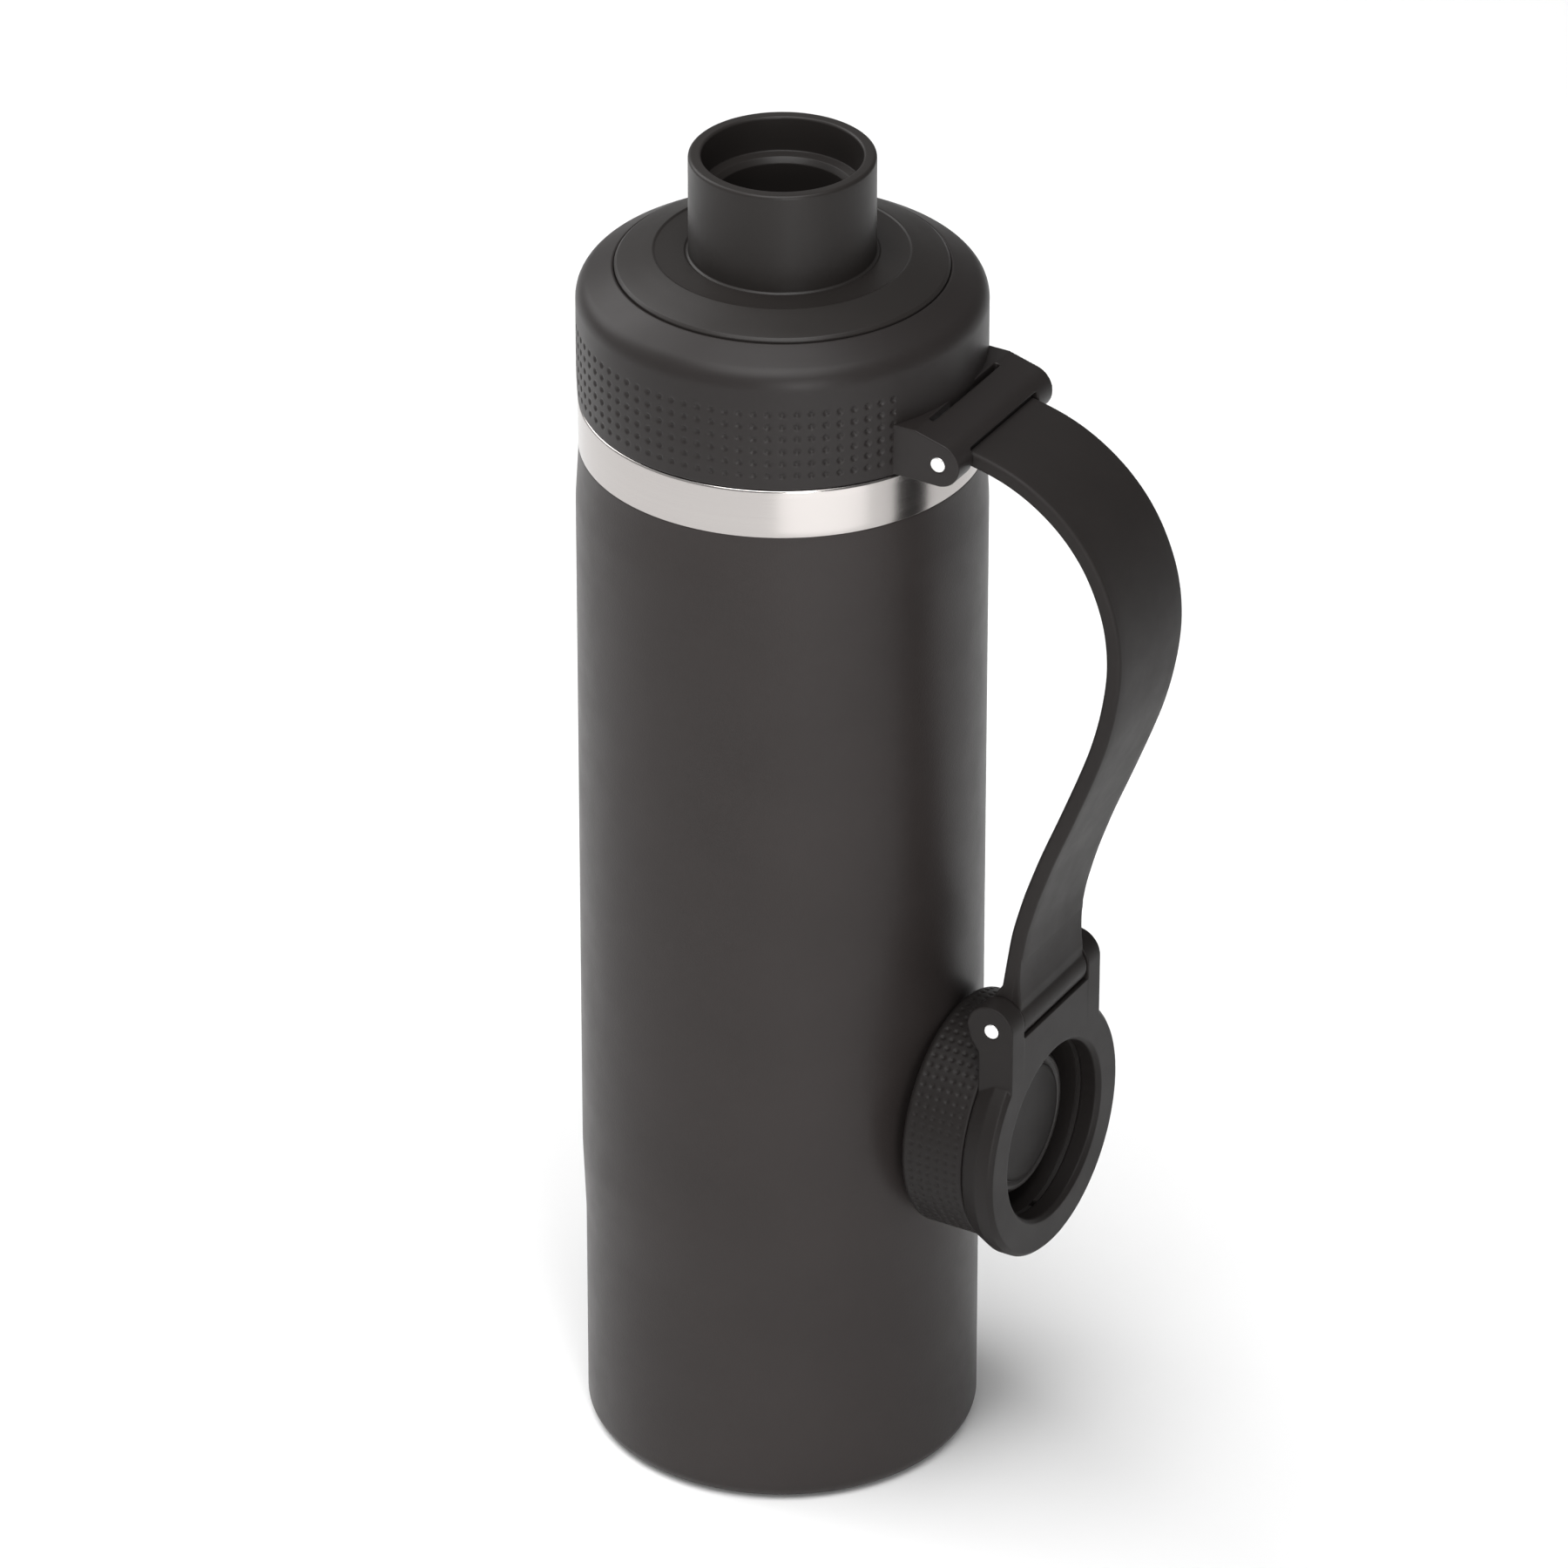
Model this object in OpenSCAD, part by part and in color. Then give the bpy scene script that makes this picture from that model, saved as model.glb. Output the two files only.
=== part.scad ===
// Insulated steel water bottle with a screw lid, a drinking spout and a cap
// that hangs on a hinged strap. Z is up, the origin is the centre of the base,
// and the strap hangs on the +X side.

/* [Body] */
// Outer diameter of the coated body
body_d = 75; // [74.4:0.1:75.2]
// Diameter of the slimmer foot of the body
foot_d = 73.8; // [73:0.1:74.4]
// Height at which the coating ends and the bare steel band begins
coat_top = 206.5; // [206:0.1:207]
// Rounding of the base edge
base_r = 2.8; // [2:0.1:4]
// Thickness of the steel sheet
sheet_t = 0.8; // [0.6:0.1:1.0]

/* [Neck] */
// Diameter of the bare steel band
band_d = 73.9; // [73.4:0.1:74]
// Height of the rim, where the lid sits
rim_z = 216.1; // [216:0.1:216.2]
// Axial travel of the thread for one full turn
thread_lead = 12; // [11.5:0.1:12.5]
// Number of thread starts
thread_starts = 3; // [2:1:3]

/* [Lid] */
// Diameter of the lid at its lower edge
lid_d = 74; // [73.8:0.1:74.4]
// Height of the seam between the lid and the spout insert
seam_z = 242.5; // [242.4:0.1:242.8]
// Radius of that seam
seam_r = 30.3; // [30:0.1:30.6]

/* [Spout] */
// Outer radius of the drinking spout
spout_r = 16.9; // [16.6:0.1:17]
// Radius of the spout's mouth
mouth_r = 14.5; // [14.2:0.1:14.8]
// Radius of the throat below the mouth
throat_r = 12; // [11:0.1:12.2]
// Height of the spout's rim
spout_z = 264.4; // [263:0.1:265]

/* [Hinges] */
// Diameter of both hinge pins
pin_d = 3; // [2.8:0.1:3.2]
// Half of the width over the lid's hinge ears
ear_half = 17.4; // [17:0.1:18]
// Half of the width over the cap's hinge ears
cap_ear_half = 16.8; // [16.4:0.1:17.2]

/* [Strap] */
// Width of the strap
strap_w = 24; // [23:0.1:24.2]
// Thickness of the strap
strap_t = 3; // [2.6:0.1:3.1]

/* [Cap] */
// Radius of the cap's ring
ring_r = 24.4; // [24:0.1:24.8]
// Radius of the opening that takes the spout
hole_r = 17.2; // [17.1:0.1:17.4]
// Radius of the cap's grip
grip_r = 22.4; // [22:0.1:22.6]

/* [Hidden] */
$fn = 96;

body_r = body_d / 2;
foot_r = foot_d / 2;
band_r = band_d / 2;
lid_r = lid_d / 2;
pin_r = pin_d / 2;
run = 0.06;                      // running clearance of a hinge pin
hood_r = 4.3;                    // rounding of the lid's hinge block about its pin

h1 = [41.75, 220.8];             // lid hinge axis (x, z)
h2 = [53.6, 106];                // cap hinge axis (x, z)
f1 = [66.8, 208.5];              // first bend of the strap
f2 = [74.3, 192];                // second bend
f3 = [70.2, 163.3];              // third bend
cap_z = 77;                      // height of the cap's axis
face_x = 58;                     // plane of the cap's open face
back_x = 37.8;                   // plane of the cap's closed top
ring_x = 51;                     // plane between the grip and the ring

// centreline of the strap between the two hinges, as it hangs
line_a = [[45, 220.4], [49.2, 219.5], [53.4, 218.2], [57.9, 216], [61.7, 213.4], [64.4, 211.1]];
line_b = [[69.2, 205.3], [71.1, 201.8], [72.5, 198.5], [73.7, 194.8]];
line_c = [[74.75, 188], [74.8, 185.5], [74.75, 183.1], [74.3, 179.4], [73.7, 175.7], [72.9, 172], [72, 168.7], [71.2, 166]];
line_d = [[69, 160], [65.4, 150.8], [61.8, 142], [58.6, 133], [56.2, 124.5], [54.9, 116], [54, 110]];

function unit(v) = v / norm(v);
function left(v) = [-v[1], v[0]];
// point at distance d to the side of a point of a line
function side(p, a, b, d) = p + left(unit(b - a)) * d;
function nb(pts, i) = [pts[max(0, i - 1)], pts[min(len(pts) - 1, i + 1)]];
// closed outline of a strip of thickness t along a line
function strip(pts, t) = concat(
    [for (i = [0:len(pts) - 1]) side(pts[i], nb(pts, i)[0], nb(pts, i)[1], t / 2)],
    [for (i = [len(pts) - 1:-1:0]) side(pts[i], nb(pts, i)[0], nb(pts, i)[1], -t / 2)]);
// points of an arc
function arc(cx, cy, r, a0, a1, n) = [for (i = [0:n]) [cx + r * cos(a0 + (a1 - a0) * i / n), cy + r * sin(a0 + (a1 - a0) * i / n)]];

// turns an outline in (x, z) into a plate centred on y = 0
module plate(w) { rotate([90, 0, 0]) translate([0, 0, -w / 2]) linear_extrude(w) children(); }
// round bar along Y
module bar(c, r, w) { translate([c[0], 0, c[1]]) rotate([90, 0, 0]) cylinder(r = r, h = w, center = true, $fn = 64); }
// turned shape about the cap's axis; the outline is (radius, x)
module cap_turned() { translate([0, 0, cap_z]) rotate([0, 90, 0]) rotate_extrude() children(); }

// one helical ridge on a wall: rw is the wall, rt the tip, both radii; it climbs thread_lead per turn
ridge_n = 22;
module ridge(rw, rt, z0, a0, sweep, base_h, tip_h) {
    pts = [for (i = [0:ridge_n]) let (u = i / ridge_n, a = a0 + sweep * u, z = z0 + thread_lead * sweep / 360 * u,
                fade = (i == 0 || i == ridge_n) ? 0.15 : 1, r = rw + (rt - rw) * fade)
           each [[rw * cos(a), rw * sin(a), z - base_h / 2], [r * cos(a), r * sin(a), z - tip_h / 2],
                 [r * cos(a), r * sin(a), z + tip_h / 2], [rw * cos(a), rw * sin(a), z + base_h / 2]]];
    q = rt < rw;
    f = concat([q ? [0, 1, 2, 3] : [3, 2, 1, 0]],
        [for (i = [0:ridge_n - 1], k = [0:3]) let (a = 4 * i + k, b = 4 * i + (k + 1) % 4)
            q ? [a, a + 4, b + 4, b] : [b, b + 4, a + 4, a]],
        [let (e = 4 * ridge_n) q ? [e + 3, e + 2, e + 1, e] : [e, e + 1, e + 2, e + 3]]);
    polyhedron(pts, f);
}

// ---------------------------------------------------------------- bottle
module outer_shell() {
    color("#2b2a2c") rotate_extrude($fn = 128) polygon(concat(
        [[foot_r - 4.5, 0.6], [foot_r - 4, 0]],
        arc(foot_r - base_r, base_r, base_r, -90, 0, 6),
        [[foot_r, 44], [body_r, 56], [body_r, 197], [band_r, 203.5], [band_r, coat_top],
         [band_r - sheet_t, coat_top], [band_r - sheet_t, 203], [body_r - sheet_t, 196], [body_r - sheet_t, 56.5], [foot_r - sheet_t, 44.5],
         [foot_r - sheet_t, 4.2], [foot_r - 3.4, 1.6], [foot_r - 4.5, 1.6]]));
}

module neck_band() {
    color("#d8d8d6") rotate_extrude($fn = 128) polygon([
        [band_r, coat_top + 0.02], [band_r, rim_z - 0.5], [band_r - 0.5, rim_z - 0.05], [33.02, rim_z - 0.05],
        [33.02, rim_z - 1.2], [band_r - 1.6, rim_z - 1.2], [band_r - 0.9, rim_z - 2], [band_r - 0.9, coat_top + 0.02]]);
}

module inner_liner() {
    color("#c4c4c4") union() {
        rotate_extrude($fn = 128) polygon([
            [0, 5.2], [29, 5.2], [33.3, 7], [34.9, 11], [34.9, 189], [33, 197], [33, rim_z - 0.1],
            [31.8, rim_z - 0.1], [31.8, 196.6], [34.1, 188.5], [34.1, 11.4], [32.8, 7.8], [28.8, 6], [0, 6]]);
        for (k = [0:thread_starts - 1])
            ridge(31.9, 30.8, 207.2, 120 * k, 88, 1.7, 0.8);
    }
}

module base_plate() {
    color("#8d8d8d") rotate_extrude($fn = 128) polygon([
        [4.05, 0], [30.4, 0], [31.2, 0.8], [31.2, 1.7], [foot_r - 3.6, 1.7], [foot_r - 3.6, 2.5], [30.4, 2.5], [30.4, 1.2], [29.9, 0.8], [4.05, 0.8]]);
}

module base_seal_plug() {
    color("#6f6f70") rotate_extrude($fn = 64) polygon([[0, 0], [4, 0], [4, 0.82], [5.4, 0.82], [5.4, 1.5], [0, 1.5]]);
}

module getter() {
    color("#55565a") translate([20, 0, 3.1]) cylinder(r = 4, h = 1.7, $fn = 48);
}

// ---------------------------------------------------------------- lid
lid_out = concat([[lid_r - 0.3, rim_z], [lid_r, rim_z + 0.3], [lid_r + 0.2, 226]],
    arc(lid_r + 0.2 - 4.75, 235.7, 4.75, 0, 57, 7), [[seam_r, seam_z]]);

module lid_shell() {
    eo = ear_half;
    ei = strap_w / 2 + 0.4;
    color("#2f2d2c") difference() {
        union() {
            rotate_extrude($fn = 128) polygon(concat(lid_out,
                [[seam_r, 240.6], [31.4, 239.8], [33.4, 237.6], [34.6, 235], [35.2, 232], [35.2, rim_z + 0.2]]));
            difference() {
                union() {
                    for (s = [-1, 1]) translate([0, s * (eo + ei) / 2, 0])
                        plate(eo - ei) polygon(concat([[31, 226.5], [31, 216.5]], arc(h1[0], h1[1], hood_r, -90, 75, 11), [[37.1, 226.5]]));
                    plate(2 * ei + 0.4) polygon(concat(arc(h1[0], h1[1], hood_r, 38, 75, 4), [[38, 226.26], [38, 224.7]], arc(h1[0], h1[1], 3.4, 90, 38, 6)));
                    plate(2 * ei + 0.4) polygon([[34, 226.5], [34, 225.2], [36.9, 225.2], [36.9, 226.5]]);
                }
                translate([0, 0, 200]) cylinder(r = 36.2, h = 60, $fn = 128);
            }
        }
        bar(h1, pin_r, 60);
    }
}

module lid_plug() {
    color("#3a3938") union() {
        rotate_extrude($fn = 128) polygon([
            [30.4, 217.7], [35.1, 217.7], [35.1, 219.6], [30, 219.6], [17, 221.6], [17, 234], [15.2, 234], [15.2, 218.8],
            [13.6, 218.8], [13.6, 217.3], [28, 217.3], [28, 200.6], [28.6, 200], [29.8, 200], [30.4, 200.6]]);
        for (k = [0:thread_starts - 1])
            ridge(30.3, 31.4, 205.67, 120 * k + 14, 88, 1.7, 0.8);
    }
}

module spout() {
    color("#2c2a29") rotate_extrude($fn = 128) polygon(concat(
        [[seam_r - 0.15, 240.8], [seam_r - 0.15, seam_z], [29.6, 243], [23.4, 245.5], [23, 245.2], [spout_r + 0.4, 245.2], [spout_r, 245.5]],
        [[spout_r, spout_z - 1.1]], arc(spout_r - 1.1, spout_z - 1.1, 1.1, 15, 165, 5),
        [[mouth_r, spout_z - 1.2], [mouth_r, 257.4], [throat_r + 0.4, 257.4], [throat_r, 257]],
        [[throat_r, 219.4], [13.6, 219.4], [13.6, 242], [15, 243.2], [27, 243.2], [28.6, 242.3], [28.6, 240.8]]));
}

module spout_seal() {
    color("#9aa0a6") translate([0, 0, 226]) rotate_extrude($fn = 96) translate([14.4, 0]) circle(r = 0.76, $fn = 24);
}

module lid_gasket() {
    color("#b9bcc0") rotate_extrude($fn = 128) polygon([
        [31.2, 216.4], [31.5, 216.1], [33.3, 216.1], [33.6, 216.4], [33.6, 217.3], [33.3, 217.6], [31.5, 217.6], [31.2, 217.3]]);
}

module lid_hinge_pin() {
    color("#cfcfcf") bar(h1, pin_r - 0.01, 2 * ear_half - 0.1);
}

// ---------------------------------------------------------------- strap
bend_r = strap_t / 2;
bend_gap = 0.4;
sw = strap_w;
d1 = unit(line_b[0] - line_a[5]);
d2 = unit(line_c[0] - line_b[3]);
d3 = unit(line_d[0] - line_c[7]);

module strap_root() {
    color("#33302f") difference() {
        union() {
            bar(h1, 3.1, sw);
            plate(sw) polygon(strip(concat([h1 + [0.5, -0.05]], line_a, [f1]), strap_t));
            bar(f1, bend_r, sw);
        }
        bar(h1, pin_r + run, 60);
    }
}

module strap_upper() {
    color("#33302f") union() {
        plate(sw) polygon(strip(concat([f1 + d1 * (bend_r + bend_gap)], line_b, [f2]), strap_t));
        bar(f2, bend_r, sw);
    }
}

module strap_lower() {
    color("#33302f") union() {
        plate(sw) polygon(strip(concat([f2 + d2 * (bend_r + bend_gap)], line_c, [f3]), strap_t));
        bar(f3, bend_r, sw);
    }
}

module strap_end() {
    color("#33302f") difference() {
        union() {
            plate(sw) polygon(strip(concat([f3 + d3 * (bend_r + bend_gap)], line_d, [h2 + [0.05, 0.6]]), strap_t));
            bar(h2, 4.25, sw);
            plate(sw) polygon([[57.05, 108.4], [55.5, 113.2], [52.5, 113.2], [50.15, 108.4]]);
        }
        bar(h2, pin_r + run, 60);
    }
}

// ---------------------------------------------------------------- cap
module cap_hinge_pin() {
    color("#cfcfcf") bar(h2, pin_r - 0.01, 2 * cap_ear_half - 0.1);
}

module cap_ring() {
    eo = cap_ear_half;
    ei = strap_w / 2 + 0.4;
    color("#302e2d") difference() {
        union() {
            cap_turned() polygon([[18.4, ring_x], [22.7, ring_x], [23, ring_x + 0.4], [ring_r, ring_x + 3.6], [ring_r, face_x - 0.8], [ring_r - 0.8, face_x],
                [hole_r + 0.7, face_x], [hole_r, face_x - 0.7], [hole_r, 54.2], [18.4, 54.2]]);
            translate([ring_x, -eo, cap_z + 17.5]) cube([face_x - ring_x, 2 * eo, 9]);
            for (s = [-1, 1]) translate([0, s * (eo + ei) / 2, 0])
                plate(eo - ei) polygon(concat([[ring_x, 91.5], [face_x, 91.5]], arc(h2[0], h2[1], 4.4, 0, 180, 10), [[49.9, 103.4], [ring_x, 101]]));
        }
        bar(h2, pin_r, 60);
        bar(h2, 4.55, 2 * ei);
        cap_turned() square([19.2, 52.9]);
        cap_turned() translate([0, 52.9]) square([20.2, 1.4]);
    }
}

module cap_retainer() {
    color("#8b8d90") difference() {
        cap_turned() polygon([[17.3, 53.15], [19.9, 53.15], [19.9, 54], [17.3, 54]]);
        translate([50, -1, cap_z - 30]) cube([10, 2, 30]);
    }
}

module cap_shell() {
    color("#2d2b2a") cap_turned() polygon([[0, back_x], [grip_r - 1.2, back_x], [grip_r, back_x + 1.2], [grip_r, ring_x - 0.6], [grip_r - 0.4, ring_x - 0.3],
        [18.9, ring_x - 0.3], [18.9, 53.1], [17.3, 53.1], [17.3, 51], [17.6, 50], [17.6, back_x + 1.5], [0, back_x + 1.5]]);
}

module cap_plug() {
    color("#3a3938") cap_turned() polygon([[0, 51.6], [11.6, 51.6], [12.5, 52.5], [13.2, 52.5], [13.8, 51.8], [13.8, back_x + 3], [17.5, back_x + 3],
        [17.5, back_x + 1.55], [12.4, back_x + 1.55], [12.4, 49.6], [0, 49.6]]);
}

module cap_gasket() {
    color("#a9adb2") cap_turned() polygon([[14, back_x + 3.05], [17.2, back_x + 3.05], [17.2, back_x + 4.2], [14, back_x + 4.2]]);
}

module cap_face_seal() {
    color("#4a4a4c") cap_turned() polygon([[0, 51.65], [11.2, 51.65], [11.2, 52.1], [0, 52.1]]);
}

outer_shell();
neck_band();
inner_liner();
base_plate();
base_seal_plug();
getter();
lid_shell();
lid_plug();
spout();
spout_seal();
lid_gasket();
lid_hinge_pin();
strap_root();
strap_upper();
strap_lower();
strap_end();
cap_hinge_pin();
cap_ring();
cap_retainer();
cap_shell();
cap_plug();
cap_gasket();
cap_face_seal();
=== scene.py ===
import math
import bmesh
import bpy
import numpy as np
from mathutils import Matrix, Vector


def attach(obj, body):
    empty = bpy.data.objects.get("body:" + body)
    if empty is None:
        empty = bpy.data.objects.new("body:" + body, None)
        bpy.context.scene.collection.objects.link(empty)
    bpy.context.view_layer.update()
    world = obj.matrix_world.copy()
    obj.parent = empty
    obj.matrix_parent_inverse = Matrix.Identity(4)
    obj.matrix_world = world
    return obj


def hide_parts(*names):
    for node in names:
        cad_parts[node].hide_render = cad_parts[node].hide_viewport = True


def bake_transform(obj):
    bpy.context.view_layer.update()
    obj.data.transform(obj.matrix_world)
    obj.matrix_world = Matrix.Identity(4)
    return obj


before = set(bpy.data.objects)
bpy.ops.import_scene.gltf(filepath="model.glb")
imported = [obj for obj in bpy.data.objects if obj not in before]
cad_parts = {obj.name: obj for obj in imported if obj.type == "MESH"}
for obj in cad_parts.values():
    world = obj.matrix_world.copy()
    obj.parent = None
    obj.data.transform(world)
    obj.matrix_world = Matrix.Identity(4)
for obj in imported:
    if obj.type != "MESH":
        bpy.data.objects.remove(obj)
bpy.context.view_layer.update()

MM = 0.001

# ------------------------------------------------------------------ helpers


def fillet(pts, closed=True, step=9.0):
    """pts: (x, y) or (x, y, radius). Returns a polyline whose corners are rounded."""
    n = len(pts)
    out = []
    for i in range(n):
        p = np.array(pts[i][:2], float)
        r = pts[i][2] if len(pts[i]) > 2 else 0.0
        if r <= 0 or (not closed and i in (0, n - 1)):
            out.append(tuple(p))
            continue
        a = np.array(pts[i - 1][:2], float)
        b = np.array(pts[(i + 1) % n][:2], float)
        u = (a - p) / np.linalg.norm(a - p)
        v = (b - p) / np.linalg.norm(b - p)
        ang = math.acos(max(-1, min(1, float(u @ v))))
        if ang > math.pi - 1e-3:
            out.append(tuple(p))
            continue
        t = r / math.tan(ang / 2)
        lim = 0.98 * min(np.linalg.norm(a - p), np.linalg.norm(b - p))
        if t > lim:
            t = lim
            r = t * math.tan(ang / 2)
        c = p + (u + v) / np.linalg.norm(u + v) * (r / math.sin(ang / 2))
        s = p + u * t
        e = p + v * t
        a0 = math.atan2(s[1] - c[1], s[0] - c[0])
        a1 = math.atan2(e[1] - c[1], e[0] - c[0])
        d = (a1 - a0 + math.pi) % (2 * math.pi) - math.pi
        k = max(2, int(abs(math.degrees(d)) / step) + 1)
        for j in range(k + 1):
            t0 = a0 + d * j / k
            out.append((c[0] + r * math.cos(t0), c[1] + r * math.sin(t0)))
    return out


def refine(pts, most, lo=None, hi=None):
    """Splits the polyline's segments whose middle lies between lo and hi in y so that none is longer than most."""
    out = []
    n = len(pts)
    for i in range(n):
        a = np.array(pts[i], float)
        b = np.array(pts[(i + 1) % n], float)
        out.append(tuple(a))
        m = (a + b) / 2
        if lo is not None and not (lo <= m[1] <= hi or min(a[1], b[1]) < hi and max(a[1], b[1]) > lo):
            continue
        k = int(np.linalg.norm(b - a) / most)
        for j in range(1, k + 1):
            out.append(tuple(a + (b - a) * j / (k + 1)))
    return out


def make(name, verts, faces, body, nodes, mat=None, sharp=38, unit=MM):
    me = bpy.data.meshes.new(name)
    me.from_pydata([tuple(float(c) * unit for c in v) for v in verts], [], faces)
    me.validate()
    me.update()
    o = bpy.data.objects.new(name, me)
    bpy.context.scene.collection.objects.link(o)
    return dress(o, body, nodes, mat, sharp)


def fix_normals(me):
    bm = bmesh.new()
    bm.from_mesh(me)
    bmesh.ops.recalc_face_normals(bm, faces=bm.faces)
    bm.to_mesh(me)
    bm.free()


def dress(o, body, nodes, mat, sharp=38):
    me = o.data
    fix_normals(me)
    me.shade_smooth()
    if sharp:
        me.set_sharp_from_angle(angle=math.radians(sharp))
    if mat:
        me.materials.clear()
        me.materials.append(mat)
    if body:
        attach(o, body)
    if nodes:
        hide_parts(*nodes)
    return o


def lathe(name, prof, segs, body, nodes, mat=None, axis="Z", at=(0, 0, 0), sharp=38, shape=None):
    """Closed (radius, height) outline turned about an axis. Points on the axis are merged. shape(r, h, a) -> r, h moves points."""
    prof = [(max(0.0, r), h) for r, h in prof]
    n = len(prof)
    a = np.arange(segs) * 2 * math.pi / segs
    P = np.array(prof)
    R = np.repeat(P[:, 0][:, None], segs, 1)
    H = np.repeat(P[:, 1][:, None], segs, 1)
    A = np.repeat(a[None], n, 0)
    if shape:
        R, H = shape(R, H, A)
    if axis == "Z":
        V = np.stack([R * np.cos(A), R * np.sin(A), H], -1)
    else:
        V = np.stack([H, R * np.cos(A), R * np.sin(A)], -1)
    V = V + np.array(at)
    idx = np.arange(n * segs).reshape(n, segs)
    verts = V.reshape(-1, 3)
    on = [i for i in range(n) if prof[i][0] < 1e-6]
    keep = np.ones(n * segs, bool)
    remap = np.arange(n * segs)
    for i in on:
        remap[idx[i]] = idx[i, 0]
        keep[idx[i, 1:]] = False
    new = np.cumsum(keep) - 1
    remap = new[remap]
    verts = verts[keep]
    faces = []
    for i in range(n):
        j = (i + 1) % n
        if i in on and j in on:
            continue
        for k in range(segs):
            l = (k + 1) % segs
            f = [remap[idx[i, k]], remap[idx[i, l]], remap[idx[j, l]], remap[idx[j, k]]]
            g = []
            for q in f:
                if int(q) not in g:
                    g.append(int(q))
            if len(g) > 2:
                faces.append(g)
    return make(name, verts, faces, body, nodes, mat, sharp)


def prism(name, outline, y0, y1):
    """Plate from an (x, z) outline between two y values, in mm. Returns an object."""
    n = len(outline)
    v = [(x * MM, y0 * MM, z * MM) for x, z in outline] + [(x * MM, y1 * MM, z * MM) for x, z in outline]
    f = [list(range(n)), list(range(2 * n - 1, n - 1, -1))] + [[i, n + i, n + (i + 1) % n, (i + 1) % n] for i in range(n)]
    return raw(name, v, f)


def raw(name, v, f):
    me = bpy.data.meshes.new(name)
    me.from_pydata(v, [], f)
    me.update()
    fix_normals(me)
    o = bpy.data.objects.new(name, me)
    bpy.context.scene.collection.objects.link(o)
    return o


def rod(name, c, axis, r, h, segs=64):
    """Solid cylinder, mm: centre c, along axis."""
    c = np.array(c, float)
    ax = {"X": (1, 0, 0), "Y": (0, 1, 0), "Z": (0, 0, 1)}[axis]
    ax = np.array(ax, float)
    u = np.array((0, 0, 1.0)) if axis != "Z" else np.array((1.0, 0, 0))
    w = np.cross(ax, u)
    v = []
    for s in (-0.5, 0.5):
        for k in range(segs):
            t = 2 * math.pi * k / segs
            v.append(tuple((c + ax * h * s + u * r * math.cos(t) + w * r * math.sin(t)) * MM))
    f = [list(range(segs)), list(range(2 * segs - 1, segs - 1, -1))] + [[k, segs + k, segs + (k + 1) % segs, (k + 1) % segs] for k in range(segs)]
    return raw(name, v, f)


def apply_all(o):
    dg = bpy.context.evaluated_depsgraph_get()
    dg.update()
    me = bpy.data.meshes.new_from_object(o.evaluated_get(dg))
    o.modifiers.clear()
    old = o.data
    o.data = me
    bpy.data.meshes.remove(old)


def combine(base, tool, op):
    m = base.modifiers.new("b", "BOOLEAN")
    m.operation = op
    m.solver = "EXACT"
    m.object = tool
    apply_all(base)
    bpy.data.objects.remove(tool, do_unlink=True)
    return base


def soften(o, voxel, rounds, factor=0.5):
    """Rebuilds a solid as an even mesh and relaxes it, which rounds its edges the way a mould does."""
    m = o.modifiers.new("r", "REMESH")
    m.mode = "VOXEL"
    m.voxel_size = voxel * MM
    m.adaptivity = 0.0
    s = o.modifiers.new("s", "SMOOTH")
    s.factor = factor
    s.iterations = rounds
    apply_all(o)
    return o


# ------------------------------------------------------------------ materials


def nodes_of(name):
    m = bpy.data.materials.new(name)
    m.use_nodes = True
    nt = m.node_tree
    nt.nodes.clear()
    out = nt.nodes.new("ShaderNodeOutputMaterial")
    b = nt.nodes.new("ShaderNodeBsdfPrincipled")
    nt.links.new(b.outputs[0], out.inputs[0])
    return m, nt, b


def link(nt, a, b):
    nt.links.new(a, b)


def ramp(nt, src, stops):
    r = nt.nodes.new("ShaderNodeValToRGB")
    el = r.color_ramp.elements
    el[0].position, el[0].color = stops[0][0], (*[stops[0][1]] * 3, 1) if not isinstance(stops[0][1], tuple) else (*stops[0][1], 1)
    el[1].position, el[1].color = stops[1][0], (*[stops[1][1]] * 3, 1) if not isinstance(stops[1][1], tuple) else (*stops[1][1], 1)
    for p, c in stops[2:]:
        e = el.new(p)
        e.color = (*[c] * 3, 1) if not isinstance(c, tuple) else (*c, 1)
    link(nt, src, r.inputs[0])
    return r.outputs[0]


def noise(nt, scale, detail=4.0, rough=0.5, stretch=None, kind="ShaderNodeTexNoise"):
    tc = nt.nodes.new("ShaderNodeTexCoord")
    src = tc.outputs["Object"]
    if stretch:
        mp = nt.nodes.new("ShaderNodeMapping")
        mp.inputs["Scale"].default_value = stretch
        link(nt, src, mp.inputs[0])
        src = mp.outputs[0]
    t = nt.nodes.new(kind)
    link(nt, src, t.inputs["Vector"])
    t.inputs["Scale"].default_value = scale
    if kind == "ShaderNodeTexNoise":
        t.inputs["Detail"].default_value = detail
        t.inputs["Roughness"].default_value = rough
    return t


def bump(nt, bsdf, height, strength, distance, prev=None):
    b = nt.nodes.new("ShaderNodeBump")
    b.inputs["Strength"].default_value = strength
    b.inputs["Distance"].default_value = distance
    link(nt, height, b.inputs["Height"])
    if prev is not None:
        link(nt, prev, b.inputs["Normal"])
    link(nt, b.outputs[0], bsdf.inputs["Normal"])
    return b.outputs[0]


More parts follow.
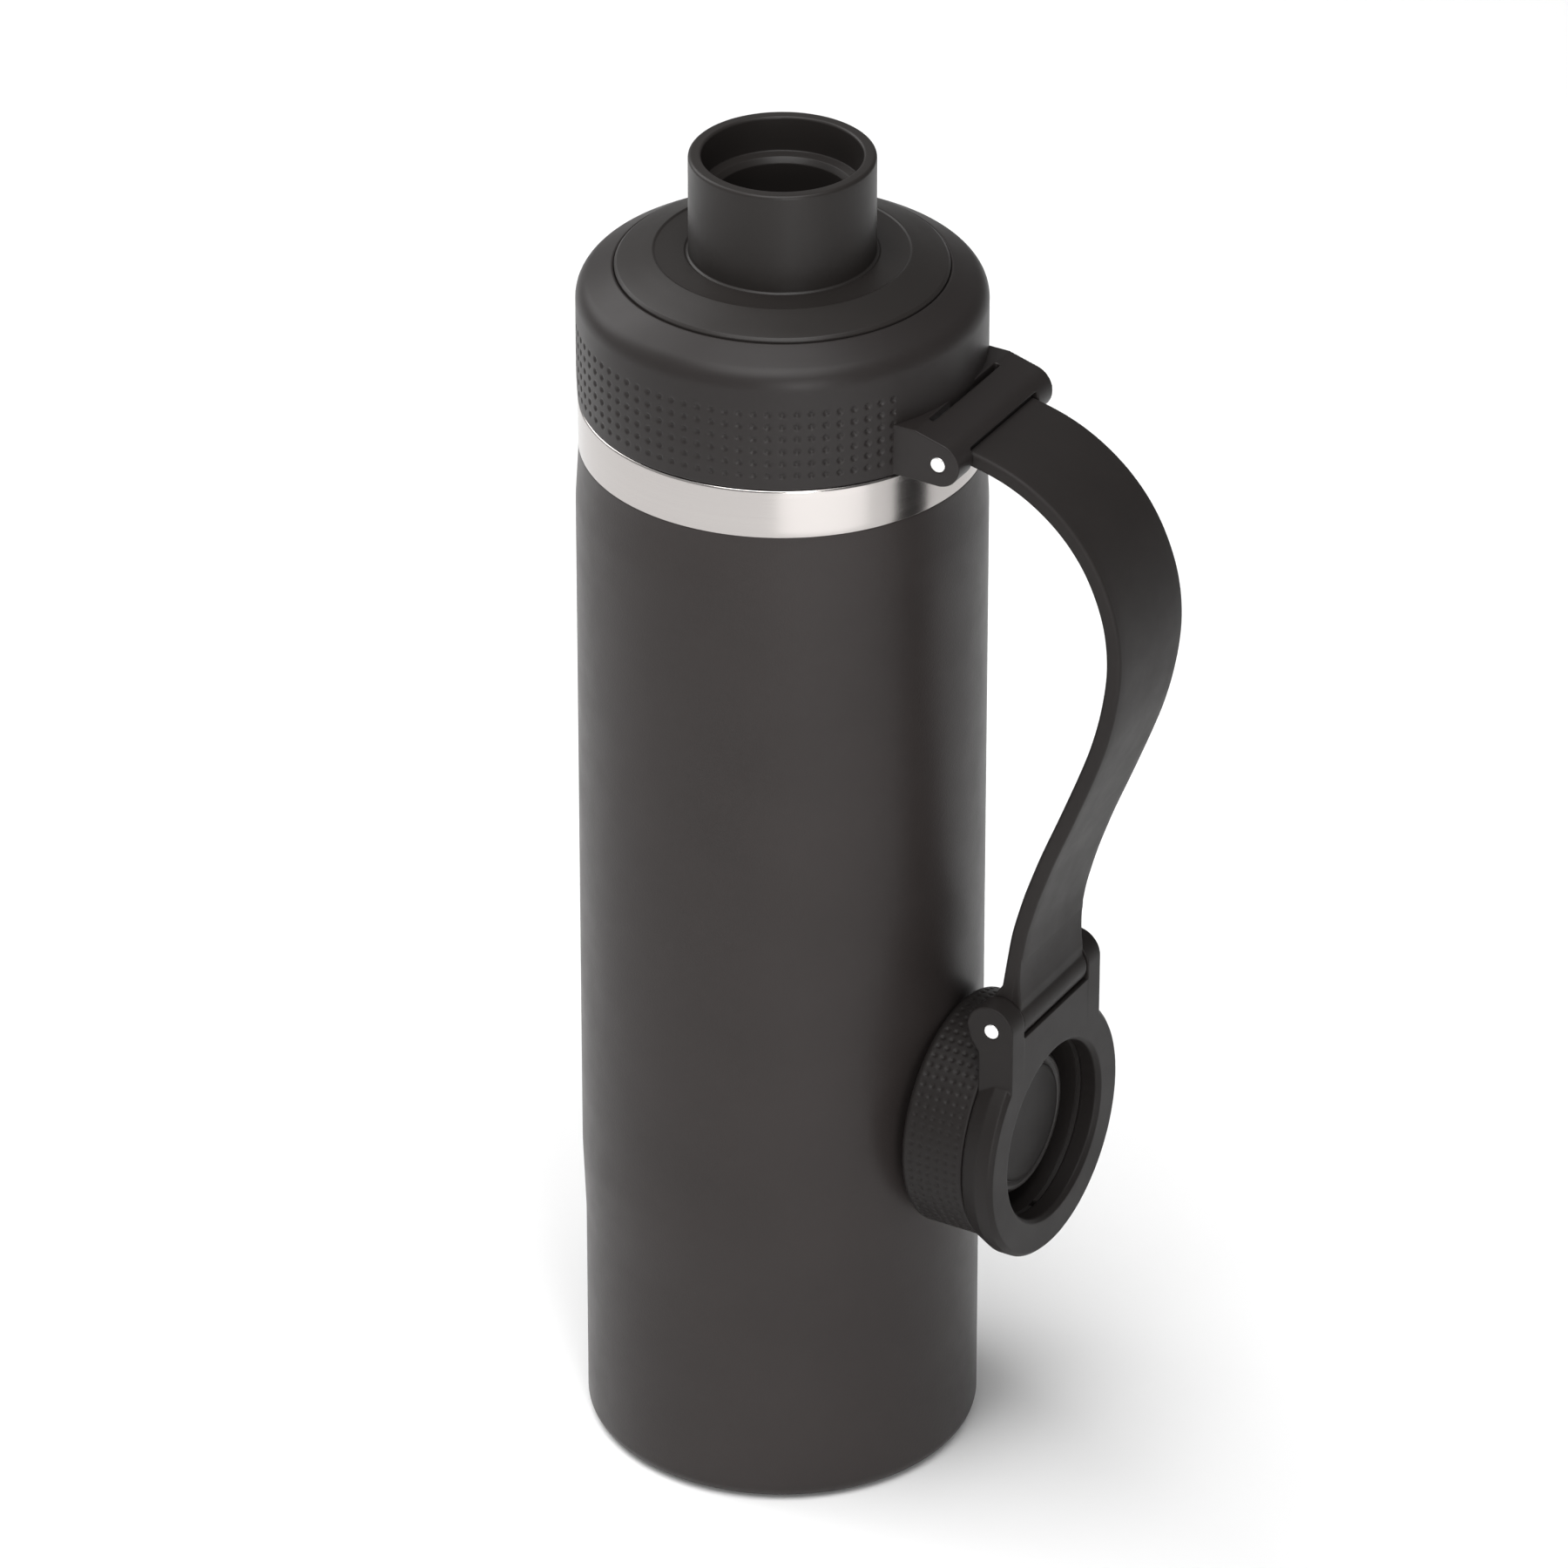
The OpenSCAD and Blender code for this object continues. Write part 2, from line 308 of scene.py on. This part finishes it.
def coat_material(name, base, rough=0.44, spec=0.5, grain=2600, grain_h=0.00003, grain_s=0.35):
    """Powder coat: fine pebbled skin with slight mottling, and a painted highlight that makes sharp convex edges
    lighter.
    """
    m, nt, b = nodes_of(name)
    n1 = noise(nt, 38, 5, 0.55)
    col = ramp(nt, n1.outputs["Fac"], [(0.3, tuple(c * 0.93 for c in base)), (0.72, tuple(c * 1.07 for c in base))])
    # painted highlight: where the surface is sharply convex (pointiness), the colour is mixed towards a lighter tone
    geo = nt.nodes.new("ShaderNodeNewGeometry")
    edge = ramp(nt, geo.outputs["Pointiness"], [(0.53, 0.0), (0.62, 1.0)])
    edge_highlight_mix = nt.nodes.new("ShaderNodeMix")
    edge_highlight_mix.data_type = "RGBA"
    link(nt, edge, edge_highlight_mix.inputs["Factor"])
    link(nt, col, edge_highlight_mix.inputs["A"])
    edge_highlight_mix.inputs["B"].default_value = (*[min(1, c * 1.5) for c in base], 1)
    link(nt, edge_highlight_mix.outputs["Result"], b.inputs["Base Color"])
    n2 = noise(nt, 120, 6, 0.6)
    rg = ramp(nt, n2.outputs["Fac"], [(0.3, rough - 0.035), (0.7, rough + 0.035)])
    link(nt, rg, b.inputs["Roughness"])
    b.inputs["Specular IOR Level"].default_value = spec
    v = noise(nt, grain, kind="ShaderNodeTexVoronoi")
    p = bump(nt, b, v.outputs["Distance"], grain_s, grain_h)
    n3 = noise(nt, 900, 3, 0.5)
    bump(nt, b, n3.outputs["Fac"], 0.18, 0.00004, p)
    return m


def plastic_material(name, base, rough=0.42, spec=0.42, grain=1700, grain_s=0.22, grain_h=0.00003, flow=None):
    """Spark-eroded moulded plastic: fine even grain, faint flow variation."""
    m, nt, b = nodes_of(name)
    n1 = noise(nt, 22, 4, 0.5, flow)
    col = ramp(nt, n1.outputs["Fac"], [(0.28, tuple(c * 0.9 for c in base)), (0.75, tuple(c * 1.1 for c in base))])
    link(nt, col, b.inputs["Base Color"])
    n2 = noise(nt, 75, 6, 0.62)
    rg = ramp(nt, n2.outputs["Fac"], [(0.3, rough - 0.045), (0.72, rough + 0.045)])
    link(nt, rg, b.inputs["Roughness"])
    b.inputs["Specular IOR Level"].default_value = spec
    n3 = noise(nt, grain, 5, 0.68)
    p = bump(nt, b, n3.outputs["Fac"], grain_s, grain_h)
    n4 = noise(nt, 260, 2, 0.5)
    bump(nt, b, n4.outputs["Fac"], 0.07, 0.00006, p)
    return m


def rubber_material(name, base, rough=0.55):
    m, nt, b = nodes_of(name)
    n1 = noise(nt, 30, 5, 0.6)
    col = ramp(nt, n1.outputs["Fac"], [(0.3, tuple(c * 0.9 for c in base)), (0.72, tuple(c * 1.12 for c in base))])
    link(nt, col, b.inputs["Base Color"])
    n2 = noise(nt, 90, 5, 0.6)
    rg = ramp(nt, n2.outputs["Fac"], [(0.3, rough - 0.05), (0.7, rough + 0.05)])
    link(nt, rg, b.inputs["Roughness"])
    b.inputs["Specular IOR Level"].default_value = 0.14
    b.inputs["Sheen Weight"].default_value = 0.02
    b.inputs["Sheen Roughness"].default_value = 0.45
    n3 = noise(nt, 2300, 4, 0.7)
    bump(nt, b, n3.outputs["Fac"], 0.25, 0.00003)
    return m


def steel_material(name, base=(0.78, 0.76, 0.74), rough=0.16, along="Z", line=0.14, aniso=0.5):
    """Turned steel: fine rings round the axis in roughness, tone and bump."""
    m, nt, b = nodes_of(name)
    b.inputs["Metallic"].default_value = 1.0
    st = {"Z": (6, 6, 9000), "Y": (400, 40, 400), "flat": (900, 900, 900)}[along]
    n1 = noise(nt, 1.0, 3, 0.6, st)
    col = ramp(nt, n1.outputs["Fac"], [(0.3, tuple(c * 0.95 for c in base)), (0.7, tuple(min(1, c * 1.03) for c in base))])
    link(nt, col, b.inputs["Base Color"])
    rg = ramp(nt, n1.outputs["Fac"], [(0.3, rough - 0.03), (0.7, rough + 0.04)])
    link(nt, rg, b.inputs["Roughness"])
    b.inputs["Anisotropic"].default_value = aniso
    bump(nt, b, n1.outputs["Fac"], line, 0.000012)
    return m


BODY = coat_material("powder_coat", (0.0265, 0.0222, 0.0212), rough=0.40, spec=0.2)
LID = plastic_material("lid_moulding", (0.0176, 0.0150, 0.0144), rough=0.42, spec=0.22)
SPOUT = plastic_material("spout_moulding", (0.0170, 0.0148, 0.0138), rough=0.40, spec=0.22)
CAP = plastic_material("cap_moulding", (0.0140, 0.0121, 0.0115), rough=0.48, spec=0.15)
PLUG = plastic_material("plug_moulding", (0.0200, 0.0178, 0.0168), rough=0.48)
STRAP = rubber_material("strap_elastomer", (0.0165, 0.0143, 0.0136), rough=0.52)
SEAL = rubber_material("silicone_seal", (0.42, 0.43, 0.45), rough=0.5)
BAND = steel_material("turned_steel", (0.455, 0.43, 0.417), 0.18)
INNER = steel_material("inner_steel", (0.66, 0.65, 0.64), 0.3)
PIN = steel_material("pin_steel", (0.86, 0.85, 0.84), 0.3, along="flat", aniso=0.0)
GETTER = steel_material("getter_metal", (0.30, 0.30, 0.32), 0.6, along="flat", aniso=0.0)

# ------------------------------------------------------------------ body of the bottle

shell = [
    (32.4, 0.6, 0.3), (33.0, 0.0, 0.25), (36.9, 0.0, 2.8), (36.9, 43, 60), (37.5, 58, 60), (37.5, 195.5, 40), (36.95, 204.5, 40),
    (36.95, 206.5, 0.18), (36.1, 206.5), (36.1, 203.6, 20), (36.7, 195.5, 20), (36.7, 58, 30), (36.1, 43.5, 30),
    (36.1, 3.6, 2.0), (33.5, 1.6, 0.5), (32.4, 1.6)]
lathe("body_wall", refine(fillet(shell, step=6), 9), 192, "bottle", ["outer_shell"], BODY)

band = [(36.95, 206.52, 0.12), (36.95, 216.05, 0.55), (33.05, 216.05, 0.4), (33.05, 214.9), (35.4, 214.9, 0.4), (36.05, 214.1, 0.3), (36.05, 206.52)]
lathe("steel_band", refine(fillet(band, step=10), 1.4), 192, "bottle", ["neck_band"], BAND)

base = [(4.05, 0.0, 0.15), (30.4, 0.0, 0.9), (31.2, 0.8, 0.3), (31.2, 1.7), (33.2, 1.7), (33.2, 2.4), (30.4, 2.4), (30.4, 1.2), (29.9, 0.8), (4.05, 0.8)]
lathe("base_disc", refine(fillet(base, step=12), 3), 160, "bottle", ["base_plate"], BODY)

# ------------------------------------------------------------------ lid

WALL = 37.2
lid_outline = [
    (36.7, 216.12, 0.3), (37.0, 216.4, 0.5), (WALL - 0.02, 221.0, 60), (WALL, 226.0), (WALL, 235.68 + 2.84, 4.756), (30.62, 242.35, 0.38), (30.3, 242.1, 0.12), (30.3, 240.7),
    (31.6, 239.9, 0.5), (34.2, 237.6, 1.5), (35.2, 234.5, 2), (35.2, 216.3)]
DOTS = 90
ROWS = [219.2 + 2.47 * k for k in range(6)]
GAP = 0.0


def lid_shape(R, H, A):
    pitch = 2 * math.pi / DOTS
    out = R.copy()
    s = (A / pitch + 0.5) % 1.0 - 0.5
    da = s * pitch * WALL
    ang = (A + math.pi) % (2 * math.pi) - math.pi
    ok = (R > 36.9) & (np.abs(ang) > math.radians(27.5))
    for z in ROWS:
        d = np.hypot(da, H - z)
        w = np.clip((0.66 - d) / 0.30, 0, 1)
        w = w * w * (3 - 2 * w)
        out = np.where(ok, out - 0.27 * w * (R > 36.9), out)
    return out, H


lo = refine(refine(fillet(lid_outline, step=5), 0.235, 217.9, 232.9), 2.2)
lathe("lid_wall", lo, DOTS * 11, "lid", ["lid_shell"], LID, shape=lid_shape)

# hinge bracket: one moulded block with flat cheeks, a rounded front edge and a slot along the wall
H1 = (41.75, 220.8)
HALF = 17.4
IN = 12.15


def arc_xz(c, r, a0, a1, n):
    return [(c[0] + r * math.cos(math.radians(a0 + (a1 - a0) * k / n)), c[1] + r * math.sin(math.radians(a0 + (a1 - a0) * k / n))) for k in range(n + 1)]


block = prism("hinge_block", [(31, 226.5), (31, 216.5)] + arc_xz(H1, 4.3, -90, 75, 22) + [(37.1, 226.5)], -HALF, HALF)
pocket = prism("pocket", [(30, 210), (60, 210), (60, H1[1] + 1.95)] + arc_xz(H1, 3.4, 35, 90, 9) + [(38, 224.7), (30, 224.7)], -IN, IN)
combine(block, pocket, "DIFFERENCE")
combine(block, prism("slot_cut", [(36.95, 224), (36.95, 230), (37.95, 230), (37.95, 224)], -IN, IN), "DIFFERENCE")
combine(block, rod("pin_hole", (H1[0], 0, H1[1]), "Y", 1.5, 50), "DIFFERENCE")
combine(block, rod("core", (0, 0, 222), "Z", 35.9, 40, 160), "DIFFERENCE")
soften(block, 0.17, 6)
block.name = "lid_hinge_bracket"
dress(block, "lid", ["lid_shell"], LID, 0)

# spout insert: sloping ring, flat dish, spout tube with its inner ledge
spout = [
    (30.2, 240.9), (30.2, 242.52, 0.22), (29.75, 243.0, 0.5), (23.3, 245.45, 0.35), (22.9, 245.2, 0.25), (17.7, 245.2, 0.25), (17.3, 244.95, 0.2), (16.9, 245.3, 0.25),
    (16.9, 264.4, 0.7), (14.5, 264.4, 0.55), (14.5, 257.6, 0.25), (12.9, 257.2, 0.35), (12.1, 256.2, 0.4), (12.0, 219.4, 0.2), (13.6, 219.4, 0.2), (13.6, 242, 0.5), (15, 243.2, 0.4),
    (27, 243.2, 0.3), (28.6, 242.3, 0.3), (28.6, 240.9)]
lathe("spout_insert", refine(fillet(spout, step=9), 2.5), 192, "lid", ["spout"], SPOUT)

# ------------------------------------------------------------------ strap

line = [(41.9, 220.85), (45, 220.4), (49.2, 219.5), (53.4, 218.2), (57.9, 216), (61.7, 213.4), (64.4, 211.1), (66.8, 208.5), (69.2, 205.3), (71.1, 201.8), (72.5, 198.5),
        (73.7, 194.8), (74.3, 192), (74.75, 188), (74.8, 185.5), (74.75, 183.1), (74.3, 179.4), (73.7, 175.7), (72.9, 172), (72, 168.7), (71.2, 166), (70.2, 163.3), (69, 160), (65.4, 150.8), (61.8, 142),
        (58.6, 133), (56.2, 124.5), (54.9, 116), (54, 110), (53.65, 106.2)]


def smooth_line(pts, n):
    """Even points along a smoothing of pts."""
    P = np.array(pts, float)
    s = np.r_[0, np.cumsum(np.linalg.norm(np.diff(P, axis=0), axis=1))]
    t = np.linspace(0, s[-1], 600)
    Q = np.stack([np.interp(t, s, P[:, k]) for k in (0, 1)], 1)
    k = np.hanning(49)
    k /= k.sum()
    E = np.vstack([2 * Q[0] - Q[24:0:-1], Q, 2 * Q[-1] - Q[-2:-26:-1]])
    Q = np.stack([np.convolve(E[:, i], k, "valid") for i in (0, 1)], 1)
    s = np.r_[0, np.cumsum(np.linalg.norm(np.diff(Q, axis=0), axis=1))]
    t = np.linspace(0, s[-1], n)
    return np.stack([np.interp(t, s, Q[:, k]) for k in (0, 1)], 1), t


SL, ST = smooth_line(line, 181)


def nearest(p):
    return int(np.argmin(np.linalg.norm(SL - np.array(p), axis=1)))


def band_section(w, t, r, n=5):
    """Rounded rectangle, (y, side) pairs; extra points across the width."""
    pts = []
    for cx, cy, a0 in ((w / 2 - r, t / 2 - r, 0), (-w / 2 + r, t / 2 - r, 90), (-w / 2 + r, -t / 2 + r, 180), (w / 2 - r, -t / 2 + r, 270)):
        for k in range(n + 1):
            a = math.radians(a0 + 90 * k / n)
            pts.append((cx + r * math.cos(a), cy + r * math.sin(a)))
    return refine(pts, 2.4)


def strap_piece(name, i0, i1, joint, nodes, span):
    sec = band_section(24.0, 3.0, 0.85)
    m = len(sec)
    verts = []
    for i in range(i0, i1 + 1):
        d = SL[min(i + 1, len(SL) - 1)] - SL[max(i - 1, 0)]
        d = d / np.linalg.norm(d)
        nx = np.array([-d[1], d[0]])
        for y, s in sec:
            p = SL[i] + nx * s
            verts.append((p[0], y, p[1]))
    k = i1 - i0
    faces = [[q * m + j, q * m + (j + 1) % m, (q + 1) * m + (j + 1) % m, (q + 1) * m + j] for q in range(k) for j in range(m)]
    faces.append(list(range(m))[::-1])
    faces.append([k * m + j for j in range(m)])
    o = make(name, verts, faces, None, None, STRAP, 40)
    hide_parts(*nodes)
    c = nearest(joint)
    s = SL[max(0, c - span)]
    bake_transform(o)
    return o


F1, F2, F3 = (66.8, 208.5), (74.3, 192.0), (70.2, 163.3)
c1, c2, c3 = nearest(F1), nearest(F2), nearest(F3)
m12 = (c1 + c2) // 2
m23 = (c2 + c3) // 2
strap_piece("strap_top", 4, m12, F1, ["strap_root", "strap_upper"], m12 - c1 - 1)
strap_piece("strap_middle", m12, m23, F2, ["strap_upper", "strap_lower"], m23 - c2 - 1)
strap_piece("strap_bottom", m23, len(SL) - 4, F3, ["strap_lower", "strap_end"], c3 - m23 - 1)


def knuckle(name, c, r, body, nodes):
    prof = fillet([(1.56, -12.0, 0.15), (r, -12.0, 0.5), (r, 12.0, 0.5), (1.56, 12.0, 0.15)], step=12)
    o = lathe(name, refine(prof, 3), 72, None, None, STRAP)
    me = o.data
    for v in me.vertices:
        x, y, z = v.co
        v.co = (c[0] * MM + x, z, c[1] * MM - y)
    me.update()
    return dress(o, body, nodes, STRAP)


H2 = (53.6, 106.0)
knuckle("strap_top_knuckle", H1, 3.2, "strap_a", ["strap_root"])
# the strap's end swells smoothly into the barrel that turns on the cap's pin
sweep = [(56.98 + 34.0 * (math.cos(math.radians(8)) - math.cos(math.radians(p))), 120.0 - 34.0 * (math.sin(math.radians(p)) + math.sin(math.radians(8)))) for p in range(-8, 10, 2)]
heel = prism("heel", [(55.0, 123.5)] + sweep + arc_xz(H2, 4.25, 38, -210, 50) + [(53.1, 113.2)], -11.9, 11.9)
combine(heel, rod("heel_hole", (H2[0], 0, H2[1]), "Y", 1.56, 40), "DIFFERENCE")
soften(heel, 0.19, 6)
heel.name = "strap_end_knuckle"
dress(heel, "strap_d", ["strap_end"], STRAP, 0)

# ------------------------------------------------------------------ cap
CZ = 77.0
FX, RX, BX = 58.0, 51.0, 37.8
ring = lathe("ring", [(0, RX), (22.7, RX), (23.0, RX + 0.4), (24.4, RX + 3.6), (24.4, FX - 0.8), (23.6, FX), (0, FX)], 160, None, None, axis="X", at=(0, 0, CZ))
combine(ring, prism("tab", [(RX, CZ + 17.5), (FX, CZ + 17.5), (FX, 103.5), (RX, 103.5)], -16.8, 16.8), "UNION")
for s in (-1, 1):
    ear = prism("ear", [(RX, 91.5), (FX, 91.5)] + arc_xz((53.3, 106.2), 4.75, 0, 180, 26) + [(49.4, 103.2), (RX, 100.8)],
                min(s * IN, s * 16.8), max(s * IN, s * 16.8))
    combine(ring, ear, "UNION")
hole = lathe("hole", [(0, 40), (19.2, 40), (19.2, 52.9), (20.2, 52.9), (20.2, 54.02), (17.25, 54.02), (17.2, 57.2), (18.0, 58.0), (18.0, 62), (0, 62)], 160, None, None, axis="X", at=(0, 0, CZ))
combine(ring, hole, "DIFFERENCE")
combine(ring, rod("ph", (H2[0], 0, H2[1]), "Y", 1.5, 60), "DIFFERENCE")
combine(ring, rod("pb", (H2[0], 0, H2[1]), "Y", 4.31, 2 * IN, 96), "DIFFERENCE")
soften(ring, 0.17, 5)
ring.name = "cap_collar_ring"
dress(ring, "cap_collar", ["cap_ring"], CAP, 0)

CD = 74


def grip_shape(R, H, A):
    pitch = 2 * math.pi / CD
    s = (A / pitch + 0.5) % 1.0 - 0.5
    da = s * pitch * 22.4
    out = R.copy()
    for k in range(6):
        x = 39.9 + 1.85 * k
        d = np.hypot(da, H - x)
        w = np.clip((0.62 - d) / 0.42, 0, 1)
        w = w * w * (3 - 2 * w)
        out = out - 0.2 * w * (R > 22.2)
    return out, H


grip = [(0, BX), (22.4, BX, 1.3), (22.4, 50.7, 0.5), (18.9, 50.7), (18.9, 53.1), (17.3, 53.1, 0.1), (17.3, 51.0), (17.6, 50.0), (17.6, BX + 1.5), (0, BX + 1.5)]
gp = fillet(grip[:-1] + [grip[-1]], closed=False, step=9)
gp2 = []
for i, p in enumerate(gp):
    gp2.append(p)
    if i + 1 < len(gp):
        q = gp[i + 1]
        d = math.hypot(q[0] - p[0], q[1] - p[1])
        most = 0.26 if p[0] > 22.3 and q[0] > 22.3 else 2.5
        k = int(d / most)
        for j in range(1, k + 1):
            gp2.append((p[0] + (q[0] - p[0]) * j / (k + 1), p[1] + (q[1] - p[1]) * j / (k + 1)))
lathe("cap_grip", gp2, CD * 10, "cap_knob", ["cap_shell"], CAP, axis="X", at=(0, 0, CZ), shape=grip_shape)

plug = [(0, 51.6), (11.6, 51.6, 0.3), (12.3, 52.1, 0.2), (13.0, 52.1, 0.4), (13.8, 51.3, 0.3), (13.8, BX + 3, 0.4), (17.5, BX + 3), (17.5, BX + 1.55), (12.4, BX + 1.55), (12.4, 49.6), (0, 49.6)]
lathe("cap_plug_body", fillet(plug, closed=False, step=12), 128, "cap_knob", ["cap_plug"], PLUG, axis="X", at=(0, 0, CZ))
disc = [(0, 51.65), (11.3, 51.65), (11.5, 52.3, 0.35), (10.6, 52.45, 0.3), (0, 52.45)]
lathe("cap_plug_disc", fillet(disc, closed=False, step=12), 128, "cap_knob", ["cap_face_seal"], CAP, axis="X", at=(0, 0, CZ))


def pin(name, c, half, body, nodes):
    prof = fillet([(0, -half), (1.49, -half, 0.22), (1.49, half, 0.22), (0, half)], closed=False, step=15)
    o = lathe(name, prof, 64, None, None, PIN)
    for v in o.data.vertices:
        x, y, z = v.co
        v.co = (c[0] * MM + x, z, c[1] * MM - y)
    o.data.update()
    return dress(o, body, nodes, PIN)


pin("lid_pin", H1, HALF + 0.02, "lid", ["lid_hinge_pin"])
pin("cap_pin", H2, 16.8 + 0.02, "cap_collar", ["cap_hinge_pin"])

# ------------------------------------------------------------------ CAD nodes that stay


def paint(node, mat):
    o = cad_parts[node]
    if not o.data.materials:
        o.data.materials.append(mat)
    for s in o.material_slots:
        s.material = mat


for node, mat in (("inner_liner", INNER), ("base_seal_plug", INNER), ("getter", GETTER), ("lid_plug", PLUG), ("spout_seal", SEAL), ("lid_gasket", SEAL),
                  ("cap_retainer", PLUG), ("cap_gasket", SEAL)):
    paint(node, mat)

# ------------------------------------------------------------------ floor, light, camera
bm = bmesh.new()
bmesh.ops.create_circle(bm, cap_ends=True, radius=4.0, segments=96)
fm = bpy.data.meshes.new("floor")
bm.to_mesh(fm)
bm.free()
floor = bpy.data.objects.new("floor", fm)
floor.location = (0, 0, -0.0002)
bpy.context.scene.collection.objects.link(floor)
mf, nt, b = nodes_of("floor_paper")
b.inputs["Base Color"].default_value = (0.86, 0.86, 0.86, 1)
b.inputs["Roughness"].default_value = 0.9
b.inputs["Specular IOR Level"].default_value = 0.1
fm.materials.append(mf)

w = bpy.data.worlds.new("studio")
bpy.context.scene.world = w
w.use_nodes = True
# the room is a little darker on the right, so that side of the bottle keeps its depth
wn = w.node_tree
bg = wn.nodes["Background"]
tc = wn.nodes.new("ShaderNodeTexCoord")
dp = wn.nodes.new("ShaderNodeVectorMath")
dp.operation = "DOT_PRODUCT"
dp.inputs[1].default_value = (-0.866, -0.5, 0.0)
wn.links.new(tc.outputs["Generated"], dp.inputs[0])
wr = wn.nodes.new("ShaderNodeMapRange")
wr.inputs["From Min"].default_value = -0.7
wr.inputs["From Max"].default_value = 0.8
wr.inputs["To Min"].default_value = 0.14
wr.inputs["To Max"].default_value = 0.54
wn.links.new(dp.outputs["Value"], wr.inputs["Value"])
bg.inputs[0].default_value = (1, 1, 1, 1)
wn.links.new(wr.outputs[0], bg.inputs[1])
bpy.context.scene.view_settings.view_transform = "Standard"

AZ, EL, DIST = 30.0, 30.44, 2.0


def area(name, az, el, dist, size, power, color=(1, 1, 1), target=(0, 0, 0.13), spread=None):
    """Softbox; az counts from the camera's side: 0 is behind the camera, 90 to its left, -90 to its right."""
    l = bpy.data.lights.new(name, "AREA")
    l.shape = "RECTANGLE"
    l.size, l.size_y = size
    l.energy = power
    l.color = color
    if spread:
        l.spread = math.radians(spread)
    o = bpy.data.objects.new(name, l)
    # camera direction in the ground plane
    base = math.radians(-90 + AZ)
    a = base - math.radians(az)
    e = math.radians(el)
    p = Vector(target) + Vector((math.cos(a) * math.cos(e), math.sin(a) * math.cos(e), math.sin(e))) * dist
    o.location = p
    o.rotation_euler = (p - Vector(target)).to_track_quat("Z", "Y").to_euler()
    bpy.context.scene.collection.objects.link(o)
    return o


area("left_back", 125, 40, 1.5, (0.9, 1.2), 12)
area("top", 10, 70, 1.8, (1.4, 1.4), 34)
area("front", -10, 12, 1.7, (0.3, 0.9), 11)
area("low", -22, -26, 0.42, (0.34, 0.16), 0.13, target=(0, 0, 0.205))

cam = bpy.data.cameras.new("cam")
co = bpy.data.objects.new("cam", cam)
bpy.context.scene.collection.objects.link(co)
bpy.context.scene.camera = co
cam.sensor_width = 36
cam.lens = 36 * 12466 / 1800
cam.clip_start, cam.clip_end = 0.1, 20
cam.shift_x = 0.001
a, e = math.radians(AZ), math.radians(EL)
tgt = Vector((0, 0, 0.13414))
pos = tgt + Vector((math.sin(a) * math.cos(e), -math.cos(a) * math.cos(e), math.sin(e))) * DIST
co.location = pos
co.rotation_euler = (pos - tgt).to_track_quat("Z", "Y").to_euler()

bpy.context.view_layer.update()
